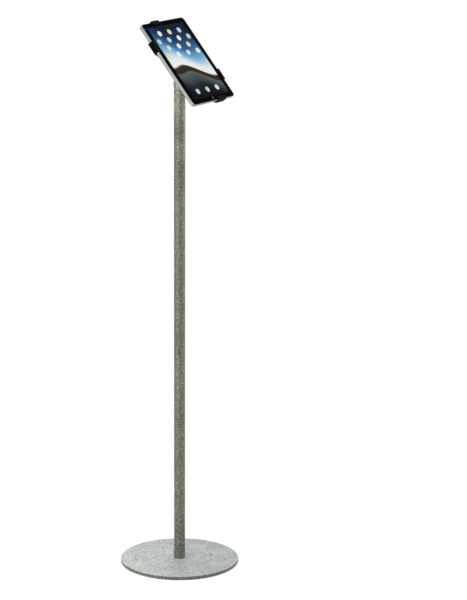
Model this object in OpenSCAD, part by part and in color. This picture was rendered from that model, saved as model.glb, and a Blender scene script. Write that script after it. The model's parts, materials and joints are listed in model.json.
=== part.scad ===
// Floor stand that holds a tablet at standing height.
// A weighted round plate carries a pole. A mast slides in the pole and is locked by a twist collar.
// The head on the mast swivels and tilts, and turns a cradle whose four claws open in self-centring pairs.

/* [Base] */
// Diameter of the weighted plate
base_d = 305; // [260:5:380]
// Thickness of the weighted plate
base_t = 9; // [8:0.5:14]
// Bevel on the plate's upper and lower edge
base_bevel = 0.8; // [0.3:0.1:2]
// Thickness of the rubber ring under the plate
foot_t = 1.6; // [1:0.2:4]
// Radial width of the rubber ring
foot_w = 14; // [8:1:30]
// Distance from the plate's rim to the rubber ring
foot_inset = 4; // [2:0.5:12]
// Shank diameter of the bolt that holds the pole
base_bolt_d = 10; // [8:0.5:12]
// Height of the plug in the foot of the pole
plug_h = 30; // [22:1:60]

/* [Pole] */
// Outside diameter of the pole
pole_d = 28.6; // [27:0.2:36]
// Wall of the pole
pole_wall = 1.5; // [1:0.1:2]
// Length of the pole
pole_len = 1234.7; // [900:0.1:1500]
// Depth of the insert's skirt inside the pole
insert_depth = 40; // [20:1:60]
// Wall of the insert's skirt
insert_wall = 1.25; // [1:0.05:2]
// How far the collar stands proud of the pole
collar_lip = 1; // [0.5:0.1:3]
// Height of the twist collar
collar_h = 12.6; // [11:0.2:24]

/* [Mast] */
// Length of the sliding mast
mast_len = 400; // [340:10:700]
// Wall of the mast
mast_wall = 1.5; // [1:0.1:2]
// Length of the guide cup on the mast's foot
guide_len = 30; // [15:1:60]
// Thickness of the cap's rim on top of the mast
cap_t = 2; // [1.5:0.5:6]
// Depth of the cap's plug inside the mast
cap_depth = 28; // [20:1:60]

/* [Head] */
// Tilt of the tablet from horizontal
rest_tilt = 50; // [35:1:65]
// Thickness of the yoke's floor
yoke_floor = 4; // [3.5:0.5:8]
// Height of the tilt axis above the yoke's floor
pivot_rise = 18; // [17:0.2:32]
// Radius of the yoke's ears and of the knuckle
ear_r = 8; // [7:0.25:9]
// Thickness of each ear
ear_t = 5; // [4:0.5:8]
// Thickness of the knuckle between the ears
tongue_t = 12; // [12:0.5:18]
// Diameter of the tilt bolt and of the swivel screw's shoulder
pivot_d = 8; // [6:0.5:9]
// Diameter of the tilt knob
knob_d = 22; // [18:1:23]
// Length of the tilt knob
knob_len = 11.5; // [9:0.5:20]
// Distance from the tilt axis to the knuckle's flange
flange_back = 10.5; // [9.5:0.25:14]
// Thickness of the knuckle's flange
flange_t = 3.5; // [2.5:0.25:6]
// Diameter of the knuckle's flange
flange_d = 26; // [20:1:28]
// Height of the turning axis above the tilt axis, along the tablet
hub_rise = 6; // [0:0.5:10]
// Diameter of the spigot that the cradle turns on
spigot_d = 8; // [7:0.5:9]

/* [Cradle] */
// Width of the cradle's housing
house_w = 112; // [100:1:130]
// Height of the cradle's housing
house_h = 140; // [120:1:180]
// Corner radius of the housing
house_r = 14; // [6:1:20]
// Bevel round the housing's back
house_bevel = 1.5; // [0.5:0.25:1.75]
// Wall of the back shell
shell_wall = 2; // [2:0.25:3]
// Thickness of the front cover
cover_t = 2; // [2:0.25:4]
// Thickness of the rubber pads behind the tablet
back_pad_t = 1.2; // [1:0.1:3]
// Diameter of the rubber pads behind the tablet
back_pad_d = 14; // [8:1:20]

/* [Grip] */
// Module of the rack and pinion teeth
tooth_module = 1.25; // [1.1:0.05:1.5]
// Teeth on each pinion
teeth = 16; // [16:2:22]
// Travel of each claw
claw_travel = 15; // [8:1:20]
// Thickness of an arm's bar
bar_t = 3; // [2.5:0.25:4]
// Width of an arm's bar
bar_w = 10.6; // [8:0.2:14]
// Thickness of an arm outside the housing
limb_t = 5; // [4:0.25:6]
// Width of each claw
claw_w = 32; // [24:1:40]
// Thickness of a claw's wall
claw_wall = 2.8; // [2.4:0.2:5]
// Thickness of a claw's lip
lip_t = 2; // [1.8:0.1:4]
// How far a lip reaches over the tablet's face
lip_reach = 8; // [5:0.5:12]
// Thickness of the rubber pad in a claw
claw_pad_t = 1; // [0.8:0.1:2.5]
// Offset of the left and right claws from the middle
side_offset = 56; // [45:1:80]
// Offset of the top and bottom claws from the middle
end_offset = 33; // [28:0.5:50]

/* [Tablet] */
// Width of the tablet
tablet_w = 190; // [180:1:210]
// Height of the tablet
tablet_h = 243; // [236:1:270]
// Thickness of the tablet
tablet_t = 13; // [11:0.5:16]
// Corner radius of the tablet
tablet_r = 9.5; // [8.5:0.5:18]
// Height of the tablet's straight side
side_h = 7.4; // [6.5:0.1:8]
// Thickness of the front glass
glass_t = 1.2; // [0.8:0.1:1.6]
// Border between the display and the tablet's long sides
side_border = 12; // [11:0.5:25]
// Border between the display and the tablet's short sides
end_border = 13.5; // [13:0.5:26]
// Diameter of the home button
home_d = 9; // [7:0.5:9.5]

/* [Hidden] */
$fn = 96;

// Clearances
run_gap = 0.05;
snug = 0.03;
flat_gap = 0.1;
mast_clear = 0.4;
lip_clear = 0.25;
limb_clear = 0.4;
button_gap = 0.25;
overcut = 1;

// Base levels
plate_z0 = foot_t;
plate_z1 = plate_z0 + base_t;
base_r = base_d / 2;
base_bolt_r = base_bolt_d / 2;
base_head_d = 17;
base_head_h = 3.4;
base_washer_d = 26;
base_washer_t = 1.2;
recess_r = base_washer_d / 2 + overcut;
recess_z1 = plate_z0 + flat_gap + base_head_h + base_washer_t;
base_bolt_reach = 20;

// Pole and mast levels
pole_r = pole_d / 2;
pole_ri = pole_r - pole_wall;
pole_z1 = plate_z1 + pole_len;
mast_r = pole_ri - snug - insert_wall - mast_clear;
mast_ri = mast_r - mast_wall;
collar_wall = 1.2;
collar_roof = 3;
collar_r = pole_r + collar_lip;
collar_ri = collar_r - collar_wall;
collar_z0 = pole_z1 + flat_gap;
collar_z1 = collar_z0 + collar_h;
insert_head_r = collar_ri - run_gap;
insert_head_h = collar_h - collar_roof - 2 * flat_gap;
insert_head_wall = 1;
insert_seat = 2;
collet_r = insert_head_r - insert_head_wall - snug;
collet_z0 = pole_z1 + insert_seat;
collet_h = insert_head_h - insert_seat;
collet_slit = 2;
collet_taper = 0.8;
mast_z1 = collar_z1 + mast_clear;
mast_z0 = mast_z1 - mast_len;
guide_floor = 3;
guide_r = pole_ri - run_gap;
cap_r = pole_r;
cap_z1 = mast_z1 + cap_t;

// Head levels
pivot_r = pivot_d / 2;
swivel_thread_r = 3;
swivel_head_r = 5.5;
swivel_head_h = 4;
swivel_thread_len = 16;
socket_depth = 2;
washer_t = 0.8;
friction_t = 0.5;
yoke_z0 = cap_z1 + washer_t + 2 * run_gap;
yoke_z1 = yoke_z0 + yoke_floor;
pivot_z = yoke_z1 + pivot_rise;
tongue_x = tongue_t / 2;
ear_x0 = tongue_x + friction_t + 2 * run_gap;
ear_x1 = ear_x0 + ear_t;
yoke_r = norm([ear_x1, ear_r]) + flat_gap;
bolt_head_r = 7;
bolt_head_h = 3.5;
bolt_socket_r = 2.9;
spacer_t = 1.4;
knob_x0 = ear_x1 + spacer_t + 2 * flat_gap;
knob_x1 = knob_x0 + knob_len;
knob_lobes = 7;
lobe_r = 4.5;
lobe_out = 2.8;
knob_end = 2.5;
knob_bevel = 1.4;
bolt_end = knob_x1 - knob_end;

// Cradle levels along the tablet's normal, from the tilt axis
flange_s = flange_back + flange_t;
spigot_r = spigot_d / 2;
shell_s0 = flange_s + flat_gap;
floor_s = shell_s0 + shell_wall;
layer_gap = 0.25;
width_s = floor_s + layer_gap;
length_s = width_s + bar_t + layer_gap;
rim_s = length_s + bar_t + layer_gap;
cover_s1 = rim_s + cover_t;
back_s = cover_s1 + back_pad_t;
face_s = back_s + tablet_t;
tube_wall = 2;
tube_r = spigot_r + run_gap + tube_wall;
tube_s1 = rim_s - flat_gap;
pinion_bore_r = tube_r + run_gap;
hub_washer_lap = 1.5;
hub_washer_r = tube_r + hub_washer_lap;
hub_washer_t = 0.8;
hub_window_gap = 0.8;
hub_window_r = hub_washer_r + hub_window_gap;
hub_screw_r = 2;
hub_head_r = 3.8;
hub_head_h = 1.2;
hub_slot_w = 1;
hub_slot_depth = 0.6;
rib_t = 2;
screw_inset = 9;
screw_x = house_w / 2 - screw_inset;
screw_v = house_h / 2 - screw_inset;
screw_r = 1.5;
screw_head_r = 2.9;
screw_head_h = 1.7;
post_r = 4.2;
pad_inset_x = 20;
pad_inset_v = 26;
pad_x = house_w / 2 - pad_inset_x;
pad_v = house_h / 2 - pad_inset_v;
hull_fn = 32;

// Rack and pinion
pressure_angle = 20;
backlash = 0.24;
pitch_r = tooth_module * teeth / 2;
tooth_pitch = PI * tooth_module;
stub_ratio = 0.8;
addendum = stub_ratio * tooth_module;
dedendum = tooth_module;
gear_tip_r = pitch_r + addendum;
gear_root_r = pitch_r - dedendum;
gear_base_r = pitch_r * cos(pressure_angle);
flank_steps = 5;
bar_p0 = pitch_r + dedendum;
bar_p1 = bar_p0 + bar_w;
bar_mid = (bar_p0 + bar_p1) / 2;
mesh_reach = 2 * tooth_pitch;
bar_tail = claw_travel + mesh_reach + tooth_pitch;
lock_r = 3;
lock_boss_r = 5.5;
lock_boss_h = 2;
lock_socket_r = 1.7;
lock_socket_h = 2.2;

// Arms and claws
limb_gap = 0.6;
limb_root = 6;
limb_gusset = 10;
limb_shoulder = 10;
limb_slot = 6;
slot_from = 0.2;
slot_to = 0.72;
corner_steps = 10;
claw_corner = 3;
shoulder_r = 1.8;
tip_r = 0.9;

// Tablet levels
housing_rim = 0.8;
housing_wall = 3;
glass_proud = 0.4;
rim_top_s = face_s - glass_proud;
glass_s0 = face_s - glass_t;
glass_w = tablet_w - 2 * housing_rim;
glass_h = tablet_h - 2 * housing_rim;
side_s0 = rim_top_s - side_h;
back_inset = 16;
back_depth = side_s0 - back_s;
back_slices = 5;
slice_t = 0.02;
pocket_sink = 0.9;
pocket_s0 = side_s0 - pocket_sink;
display_w = tablet_w - 2 * side_border;
display_h = tablet_h - 2 * end_border;
display_t = 2.4;
battery_w = 66;
battery_h = 150;
battery_t = 3;
board_w = 22;
board_h = 180;
board_t = 1.2;
inner_gap = 2;
home_v = -(display_h / 2 + tablet_h / 2 - housing_wall) / 2;
home_t = 1.6;
home_sink = 0.3;
dish_r = 36;
dish_depth = 0.35;
edge_s = (side_s0 + rim_top_s) / 2;
edge_button_w = 2.6;
edge_button_len = 10;
edge_button_depth = 2.4;
edge_button_proud = 0.6;
power_inset = 22;
power_x = tablet_w / 2 - power_inset;
volume_inset = 28;
volume_v = tablet_h / 2 - volume_inset;
volume_pitch = 13;
port_w = 9;
port_h = 3;
jack_r = 1.8;
jack_inset = 20;
jack_x = -tablet_w / 2 + jack_inset;
speaker_inset = 30;
speaker_x = -tablet_w / 2 + speaker_inset;
speaker_holes = 8;
speaker_pitch = 3;
speaker_r = 0.8;

steel = [0.72, 0.74, 0.72];
black = [0.10, 0.10, 0.11];
rubber = [0.16, 0.16, 0.16];
zinc = [0.62, 0.63, 0.65];
acetal = [0.88, 0.88, 0.85];
alloy = [0.80, 0.81, 0.82];

// A round piece with a round hole, standing on the plane
module ring(r_out, r_in, h) {
    difference() {
        cylinder(r = r_out, h = h);
        translate([0, 0, -overcut]) cylinder(r = r_in, h = h + 2 * overcut);
    }
}

// A rectangle with rounded corners, centred
module rounded(w, h, r) {
    square([w - 2 * r, h], center = true);
    square([w, h - 2 * r], center = true);
    for (i = [-1, 1], j = [-1, 1]) translate([i * (w / 2 - r), j * (h / 2 - r)]) circle(r = r);
}

// A slot outline with round ends, centred, longer along x
module pill(length, width) {
    square([length - width, width], center = true);
    for (i = [-1, 1]) translate([i * (length - width) / 2, 0]) circle(d = width);
}

// The head's frame: x across, y up along the tablet, z out of its face, from the tilt axis
module in_head() {
    translate([0, 0, pivot_z]) rotate([rest_tilt, 0, 0]) children();
}

// The cradle's frame: as the head's, from the turning axis
module in_cradle() {
    in_head() translate([0, hub_rise, 0]) children();
}

// Lays a shape that is drawn along z onto the tilt axis
module along_tilt_axis(x) {
    translate([x, 0, pivot_z]) rotate([0, 90, 0]) children();
}

// Weighted plate, turned from steel, with a recess below for the bolt
module base_plate() {
    color(steel) difference() {
        translate([0, 0, plate_z0]) rotate_extrude() polygon([
            [0, 0], [base_r - base_bevel, 0], [base_r, base_bevel],
            [base_r, base_t - base_bevel], [base_r - base_bevel, base_t], [0, base_t]]);
        translate([0, 0, plate_z0 - overcut]) cylinder(r = recess_r, h = recess_z1 - plate_z0 + overcut);
        cylinder(r = base_bolt_r + mast_clear, h = plate_z1 + overcut);
    }
}

module foot_ring() {
    foot_r = base_r - foot_inset;
    color(rubber) ring(foot_r, foot_r - foot_w, foot_t);
}

module foot_plug() {
    color(zinc) translate([0, 0, plate_z1]) ring(pole_ri - snug, base_bolt_r + snug, plug_h);
}

module base_bolt() {
    head_z0 = recess_z1 - base_washer_t - base_head_h;
    color(zinc) {
        translate([0, 0, head_z0]) cylinder(d = base_head_d, h = base_head_h, $fn = 6);
        translate([0, 0, head_z0]) cylinder(r = base_bolt_r, h = plate_z1 + base_bolt_reach - head_z0);
    }
}

module base_washer() {
    color(zinc) translate([0, 0, recess_z1 - base_washer_t])
        ring(base_washer_d / 2, base_bolt_r + mast_clear, base_washer_t);
}

module pole() {
    color(steel) translate([0, 0, plate_z1]) ring(pole_r, pole_ri, pole_len);
}

// Insert whose skirt is pressed into the pole and whose head takes the collet and the collar
module pole_insert() {
    color(zinc) difference() {
        union() {
            translate([0, 0, pole_z1 - insert_depth]) cylinder(r = pole_ri - snug, h = insert_depth);
            translate([0, 0, pole_z1]) cylinder(r = insert_head_r, h = insert_head_h);
        }
        translate([0, 0, pole_z1 - insert_depth - overcut])
            cylinder(r = mast_r + mast_clear, h = insert_depth + insert_head_h + 2 * overcut);
        translate([0, 0, collet_z0]) cylinder(r = collet_r + snug, h = collet_h + overcut);
    }
}

// Split ring that the collar presses onto the mast
module collet() {
    color(acetal) translate([0, 0, collet_z0]) difference() {
        rotate_extrude() polygon([
            [mast_r + run_gap, 0], [collet_r - collet_taper, 0], [collet_r, collet_h / 2],
            [collet_r, collet_h], [mast_r + run_gap, collet_h]]);
        translate([0, -collet_slit / 2, -overcut]) cube([collar_r, collet_slit, collet_h + 2 * overcut]);
    }
}

module twist_collar() {
    color(steel) translate([0, 0, collar_z0]) difference() {
        rotate_extrude() polygon([
            [0, 0], [collar_r, 0], [collar_r, collar_h - collar_lip],
            [collar_r - collar_lip, collar_h], [0, collar_h]]);
        translate([0, 0, -overcut]) cylinder(r = collar_ri, h = collar_h - collar_roof + overcut);
        cylinder(r = mast_r + mast_clear, h = collar_h + overcut);
    }
}

module mast() {
    color(steel) translate([0, 0, mast_z0]) ring(mast_r, mast_ri, mast_len);
}

// Cup on the mast's foot that runs in the pole's bore
module mast_guide() {
    color(acetal) difference() {
        translate([0, 0, mast_z0 - guide_floor]) cylinder(r = guide_r, h = guide_floor + guide_len);
        translate([0, 0, mast_z0]) cylinder(r = mast_r + snug, h = guide_len + overcut);
    }
}

// Cap pressed into the mast, threaded for the swivel screw
module mast_cap() {
    color(zinc) difference() {
        union() {
            translate([0, 0, mast_z1]) cylinder(r = cap_r, h = cap_t);
            translate([0, 0, mast_z1 - cap_depth]) cylinder(r = mast_ri - snug, h = cap_depth);
        }
        translate([0, 0, mast_z1 - cap_depth - overcut])
            cylinder(r = swivel_thread_r + snug, h = cap_depth + cap_t + 2 * overcut);
    }
}

// Shoulder screw that the yoke swivels on, with a hexagon socket
module swivel_screw() {
    shoulder_top = yoke_z1 + washer_t + 2 * run_gap;
    color(zinc) difference() {
        union() {
            translate([0, 0, cap_z1]) cylinder(r = pivot_r, h = shoulder_top - cap_z1);
            translate([0, 0, shoulder_top]) cylinder(r = swivel_head_r, h = swivel_head_h);
            translate([0, 0, cap_z1 - swivel_thread_len])
                cylinder(r = swivel_thread_r, h = swivel_thread_len);
        }
        translate([0, 0, shoulder_top + swivel_head_h - socket_depth])
            cylinder(r = swivel_thread_r, h = socket_depth + overcut, $fn = 6);
    }
}

// Thrust washers below and above the yoke's floor
module swivel_washers() {
    color(acetal) {
        translate([0, 0, cap_z1]) ring(cap_r - collar_lip, pivot_r + snug, washer_t);
        translate([0, 0, yoke_z1 + 2 * run_gap]) ring(swivel_head_r, pivot_r + snug, washer_t);
    }
}

// Forked yoke: a round floor and two ears for the tilt bolt
module swivel_yoke() {
    color(black) difference() {
        union() {
            translate([0, 0, yoke_z0]) cylinder(r = yoke_r, h = yoke_floor);
            for (side = [-1, 1]) along_tilt_axis(side > 0 ? ear_x0 : -ear_x1) {
                cylinder(r = ear_r, h = ear_t);
                translate([0, -ear_r, 0]) cube([pivot_rise + yoke_floor / 2, 2 * ear_r, ear_t]);
            }
        }
        translate([0, 0, yoke_z0 - overcut]) cylinder(r = pivot_r + run_gap, h = yoke_floor + 2 * overcut);
        along_tilt_axis(-ear_x1 - overcut) cylinder(r = pivot_r + snug, h = 2 * (ear_x1 + overcut));
    }
}

// Bolt with a low round head and a hexagon socket, fixed in the yoke
module tilt_bolt() {
    color(zinc) difference() {
        union() {
            along_tilt_axis(-ear_x1) cylinder(r = pivot_r, h = ear_x1 + bolt_end);
            along_tilt_axis(-ear_x1 - bolt_head_h) rotate_extrude() polygon([
                [0, 0], [bolt_head_r - bolt_head_h / 2, 0], [bolt_head_r, bolt_head_h / 2],
                [bolt_head_r, bolt_head_h], [0, bolt_head_h]]);
        }
        along_tilt_axis(-ear_x1 - bolt_head_h - overcut)
            cylinder(r = bolt_socket_r, h = socket_depth + overcut, $fn = 6);
    }
}

module friction_washers() {
    color(acetal) for (x = [-tongue_x - run_gap - friction_t, tongue_x + run_gap])
        along_tilt_axis(x) ring(ear_r - run_gap, pivot_r + snug, friction_t);
}

module knob_spacer() {
    color(zinc) along_tilt_axis(ear_x1) ring(ear_r, pivot_r + snug, spacer_t);
}

// Lobed hand knob with a blind bore for the bolt's end
module tilt_knob() {
    knob_r = knob_d / 2;
    color(black) along_tilt_axis(knob_x0) difference() {
        rotate_extrude() polygon([
            [0, 0], [knob_r - knob_bevel, 0], [knob_r, knob_bevel],
            [knob_r, knob_len - knob_bevel], [knob_r - knob_bevel, knob_len], [0, knob_len]]);
        for (i = [0 : knob_lobes - 1]) rotate([0, 0, i * 360 / knob_lobes])
            translate([knob_r + lobe_out, 0, -overcut]) cylinder(r = lobe_r, h = knob_len + 2 * overcut);
        translate([0, 0, -overcut])
            cylinder(r = pivot_r + run_gap, h = bolt_end - knob_x0 + overcut + mast_clear);
    }
}

// Knuckle on the tilt bolt, with a flange and a spigot for the cradle
module tilt_knuckle() {
    color(black) in_head() difference() {
        union() {
            translate([-tongue_x, 0, 0]) rotate([0, 90, 0]) cylinder(r = ear_r, h = tongue_t);
            translate([-tongue_x, -ear_r, 0]) cube([tongue_t, 2 * ear_r, flange_back + flange_t / 2]);
            translate([0, hub_rise, flange_back]) cylinder(d = flange_d, h = flange_t);
            translate([0, hub_rise, flange_back])
                cylinder(r = spigot_r, h = tube_s1 + flat_gap - flange_back);
        }
        translate([-tongue_x - overcut, 0, 0]) rotate([0, 90, 0])
            cylinder(r = pivot_r + run_gap, h = tongue_t + 2 * overcut);
        translate([0, hub_rise, flange_s]) cylinder(r = hub_screw_r + snug, h = tube_s1);
    }
}

// Washer that keeps the cradle on the spigot
module hub_washer() {
    color(zinc) in_cradle() translate([0, 0, tube_s1 + flat_gap])
        ring(hub_washer_r, hub_screw_r + snug, hub_washer_t);
}

// Slotted screw that holds the washer to the spigot
module hub_screw() {
    head_s = tube_s1 + flat_gap + hub_washer_t;
    color(zinc) in_cradle() difference() {
        union() {
            translate([0, 0, head_s]) cylinder(r = hub_head_r, h = hub_head_h);
            translate([0, 0, flange_s + overcut]) cylinder(r = hub_screw_r, h = head_s - flange_s - overcut);
        }
        translate([-hub_head_r - overcut, -hub_slot_w / 2, head_s + hub_head_h - hub_slot_depth])
            cube([2 * (hub_head_r + overcut), hub_slot_w, hub_slot_depth + overcut]);
    }
}

// Places children at the four cover screws
module at_screws() {
    for (i = [-1, 1], j = [-1, 1]) translate([i * screw_x, j * screw_v, 0]) children();
}

// Cuts the two openings of one pair of bars through the walls, for bars that run along y
module bar_slots(s, half) {
    slot_w = bar_w + 2 * layer_gap;
    for (a = [0, 180]) rotate([0, 0, a])
        translate([bar_p0 - layer_gap, half - shell_wall - overcut, s - layer_gap])
            cube([slot_w, shell_wall + 2 * overcut, bar_t + 2 * layer_gap]);
}

// Back shell: bevelled tray with a bearing tube for the pinions, guide ribs and a boss for the lock screw
module cradle_shell() {
    depth = rim_s - shell_s0;
    color(black) in_cradle() difference() {
        union() {
            difference() {
                hull() {
                    translate([0, 0, shell_s0]) linear_extrude(slice_t)
                        rounded(house_w - 2 * house_bevel, house_h - 2 * house_bevel,
                                house_r - house_bevel, $fn = hull_fn);
                    translate([0, 0, shell_s0 + house_bevel]) linear_extrude(depth - house_bevel)
                        rounded(house_w, house_h, house_r, $fn = hull_fn);
                }
                translate([0, 0, floor_s]) linear_extrude(depth)
                    rounded(house_w - 2 * shell_wall, house_h - 2 * shell_wall, house_r - shell_wall);
            }
            translate([0, 0, shell_s0]) cylinder(r = tube_r, h = tube_s1 - shell_s0);
            for (a = [0, 180]) rotate([0, 0, a])
                translate([-house_w / 2 + shell_wall, bar_p1 + layer_gap, floor_s - overcut])
                    cube([house_w / 2 + bar_tail - claw_travel, rib_t, bar_t + overcut]);
            translate([-bar_mid, bar_mid, shell_s0 - lock_boss_h])
                cylinder(r = lock_boss_r, h = lock_boss_h + shell_wall);
        }
        translate([0, 0, shell_s0 - overcut]) cylinder(r = spigot_r + run_gap, h = depth + 2 * overcut);
        translate([-bar_mid, bar_mid, shell_s0 - lock_boss_h - overcut])
            cylinder(r = lock_r + run_gap, h = lock_boss_h + shell_wall + 2 * overcut);
        at_screws() translate([0, 0, shell_s0 - overcut])
            cylinder(r = screw_r + 2 * flat_gap, h = shell_wall + 2 * overcut);
        rotate([0, 0, 90]) bar_slots(width_s, house_w / 2);
        mirror([1, 0, 0]) bar_slots(length_s, house_h / 2);
    }
}

// Front cover with screw posts, guide ribs and a window over the hub
module cradle_cover() {
    color(black) in_cradle() difference() {
        union() {
            translate([0, 0, rim_s]) linear_extrude(cover_t) rounded(house_w, house_h, house_r);
            at_screws() translate([0, 0, floor_s + flat_gap]) cylinder(r = post_r, h = rim_s - floor_s);
            for (a = [0, 180]) rotate([0, 0, a])
                translate([bar_p1 + layer_gap, -house_h / 2 + shell_wall + layer_gap, length_s])
                    cube([rib_t, house_h / 2 + bar_tail - claw_travel, rim_s - length_s + overcut]);
        }
        translate([0, 0, rim_s - overcut]) cylinder(r = hub_window_r, h = cover_t + 2 * overcut);
        at_screws() translate([0, 0, floor_s]) cylinder(r = screw_r + snug, h = rim_s - floor_s);
    }
}

// Four pan-head screws that hold the shell to the cover
module cradle_screws() {
    color(zinc) in_cradle() at_screws() {
        translate([0, 0, shell_s0 - screw_head_h]) cylinder(r = screw_head_r, h = screw_head_h);
        translate([0, 0, shell_s0 - screw_head_h])
            cylinder(r = screw_r, h = rim_s - shell_s0 + screw_head_h - overcut);
    }
}

module back_pads() {
    color(rubber) in_cradle() for (i = [-1, 1], j = [-1, 1])
        translate([i * pad_x, j * pad_v, cover_s1]) cylinder(d = back_pad_d, h = back_pad_t);
}

// Socket set screw that pinches one bar of each pair against the cover
module grip_lock_screw() {
    screw_s0 = shell_s0 - lock_boss_h + flat_gap;
    color(zinc) in_cradle() translate([-bar_mid, bar_mid, screw_s0]) difference() {
        cylinder(r = lock_r, h = floor_s + flat_gap - screw_s0);
        translate([0, 0, -overcut]) cylinder(r = lock_socket_r, h = lock_socket_h + overcut, $fn = 6);
    }
}

// Involute of an angle, in degrees
function involute(a) = tan(a) * 180 / PI - a;

// Half the angle that a pinion tooth takes at radius r
function half_tooth(r) =
    90 / teeth - backlash / 4 / pitch_r * 180 / PI + involute(pressure_angle)
    - involute(acos(min(1, gear_base_r / r)));

// One pinion outline with involute flanks, a tooth on the y axis
function pinion_outline() = [
    for (i = [0 : teeth - 1], k = [0 : 2 * flank_steps + 1])
        let (up = k <= flank_steps,
             step = up ? k : 2 * flank_steps + 1 - k,
             r = gear_root_r + (gear_tip_r - gear_root_r) * step / flank_steps,
             a = 90 + i * 360 / teeth + (up ? -1 : 1) * half_tooth(r))
        [r * cos(a), r * sin(a)]];

// A pinion on the shell's tube, its marked tooth turned from the y axis by phase
module pinion(s, phase) {
    color(acetal) in_cradle() translate([0, 0, s]) difference() {
        linear_extrude(bar_t) rotate(phase) polygon(pinion_outline());
        translate([0, 0, -overcut]) cylinder(r = pinion_bore_r, h = bar_t + 2 * overcut);
    }
}

module width_pinion() { pinion(width_s, 0); }

module length_pinion() { pinion(length_s, 90); }

// Rack outline along y: teeth towards the pinion, a gap on the x axis, closed by the bar's outer edge
function rack_outline(q_end) =
    let (first = -floor(bar_tail / tooth_pitch),
         last = floor(mesh_reach / tooth_pitch) - 1,
         tip = tooth_pitch / 4 - backlash / 4 - addendum * tan(pressure_angle),
         root = tooth_pitch / 4 - backlash / 4 + dedendum * tan(pressure_angle))
    concat(
        [for (i = [first : last], k = [0 : 3])
            let (mid = (i + 0.5) * tooth_pitch,
                 low = k == 0 || k == 3)
            [low ? bar_p0 : pitch_r - addendum, mid + (k < 2 ? -1 : 1) * (low ? root : tip)]],
        [[bar_p0, q_end], [bar_p1, q_end], [bar_p1, first * tooth_pitch], [bar_p0, first * tooth_pitch]]);

// Points of an elliptical corner about a centre, from one angle to another
function corner(x, y, rx, ry, a0, a1) =
    [for (i = [0 : corner_steps])
        let (a = a0 + (a1 - a0) * i / corner_steps)
        [x + rx * cos(a), y + ry * sin(a)]];

// Where a claw's wall begins, outside a tablet edge
function claw_inside(edge) = edge + run_gap + claw_pad_t;

// Outline of an arm outside the housing, seen from its face
function limb_outline(half, edge, offset) =
    let (q_out = claw_inside(edge) + claw_wall,
         q_wide = claw_inside(edge) - limb_shoulder,
         p0 = offset - claw_w / 2,
         p1 = offset + claw_w / 2)
    concat(
        [[bar_p0, half + limb_gap], [bar_p1 + limb_gusset, half + limb_gap], [p1, q_wide]],
        corner(p1 - claw_corner, q_out - claw_corner, claw_corner, claw_corner, 0, 90),
        corner(p0 + claw_corner, q_out - claw_corner, claw_corner, claw_corner, 90, 180),
        [[p0, q_wide]]);

// Side view of an arm outside the housing: a root that rises from the bar, a limb close behind the tablet,
// a hook that follows the tablet's curved back, a wall and a lip that thins towards its tip
function limb_profile(half, edge, bar_s) =
    let (q_root = half + limb_gap,
         q_in = claw_inside(edge),
         q_out = q_in + claw_wall,
         q_tip = edge - lip_reach,
         q_bend = q_in - back_inset,
         lip_s = face_s + lip_clear,
         limb_s1 = back_s - limb_clear,
         limb_s0 = limb_s1 - limb_t,
         bend_s = limb_s1 + back_depth)
    concat(
        [[q_root, bar_s], [q_root + limb_root, bar_s], [q_root + limb_root + limb_s0 - bar_s, limb_s0]],
        corner(q_bend, bend_s, back_inset + claw_wall, back_depth + limb_t, -90, 0),
        corner(q_out - shoulder_r, lip_s + lip_t - shoulder_r, shoulder_r, shoulder_r, 0, 90),
        corner(q_tip + tip_r, lip_s + tip_r, tip_r, tip_r, 90, 180),
        [[q_tip, lip_s], [q_in, lip_s]],
        corner(q_bend, bend_s, back_inset, back_depth, 0, -90),
        [[q_root, limb_s1]]);

// Puts a shape from an arm's frame, where y points outwards and the bar lies at positive x, on its side
module on_left() { in_cradle() rotate([0, 0, 90]) children(); }
module on_right() { in_cradle() rotate([0, 0, -90]) children(); }
module on_top() { in_cradle() mirror([1, 0, 0]) children(); }
module on_bottom() { in_cradle() mirror([0, 1, 0]) children(); }

// One arm: rack bar, and a slotted limb with its claw
module arm(half, edge, offset, bar_s) {
    foot = [(bar_p0 + bar_p1 + limb_gusset) / 2, half + limb_gap];
    run = [offset, claw_inside(edge) - limb_shoulder] - foot;
    slot_mid = foot + run * (slot_from + slot_to) / 2;
    slot_len = (slot_to - slot_from) * norm(run);
    translate([0, 0, bar_s]) linear_extrude(bar_t) polygon(rack_outline(half + limb_gap + overcut));
    difference() {
        intersection() {
            rotate([90, 0, 90]) linear_extrude(offset + claw_w) polygon(limb_profile(half, edge, bar_s));
            linear_extrude(face_s + tablet_t) polygon(limb_outline(half, edge, offset));
        }
        translate([0, 0, bar_s - overcut]) linear_extrude(back_s - bar_s + overcut)
            translate(slot_mid) rotate(atan2(run[1], run[0])) pill(slot_len, limb_slot);
    }
}

// The left and right arms share one layer, and the top and bottom arms the other
module side_arm() { arm(house_w / 2, tablet_w / 2, side_offset, width_s); }
module end_arm() { arm(house_h / 2, tablet_h / 2, end_offset, length_s); }

module left_arm() { color(black) on_left() side_arm(); }
module right_arm() { color(black) on_right() side_arm(); }
module top_arm() { color(black) on_top() end_arm(); }
module bottom_arm() { color(black) on_bottom() end_arm(); }

// Rubber strip between a claw's wall and the tablet's straight side
module claw_pad(edge, offset) {
    translate([offset - claw_w / 2 + claw_corner, edge + run_gap, side_s0])
        cube([claw_w - 2 * claw_corner, claw_pad_t, side_h]);
}

module left_claw_pad() { color(rubber) on_left() claw_pad(tablet_w / 2, side_offset); }
module right_claw_pad() { color(rubber) on_right() claw_pad(tablet_w / 2, side_offset); }
module top_claw_pad() { color(rubber) on_top() claw_pad(tablet_h / 2, end_offset); }
module bottom_claw_pad() { color(rubber) on_bottom() claw_pad(tablet_h / 2, end_offset); }

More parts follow.
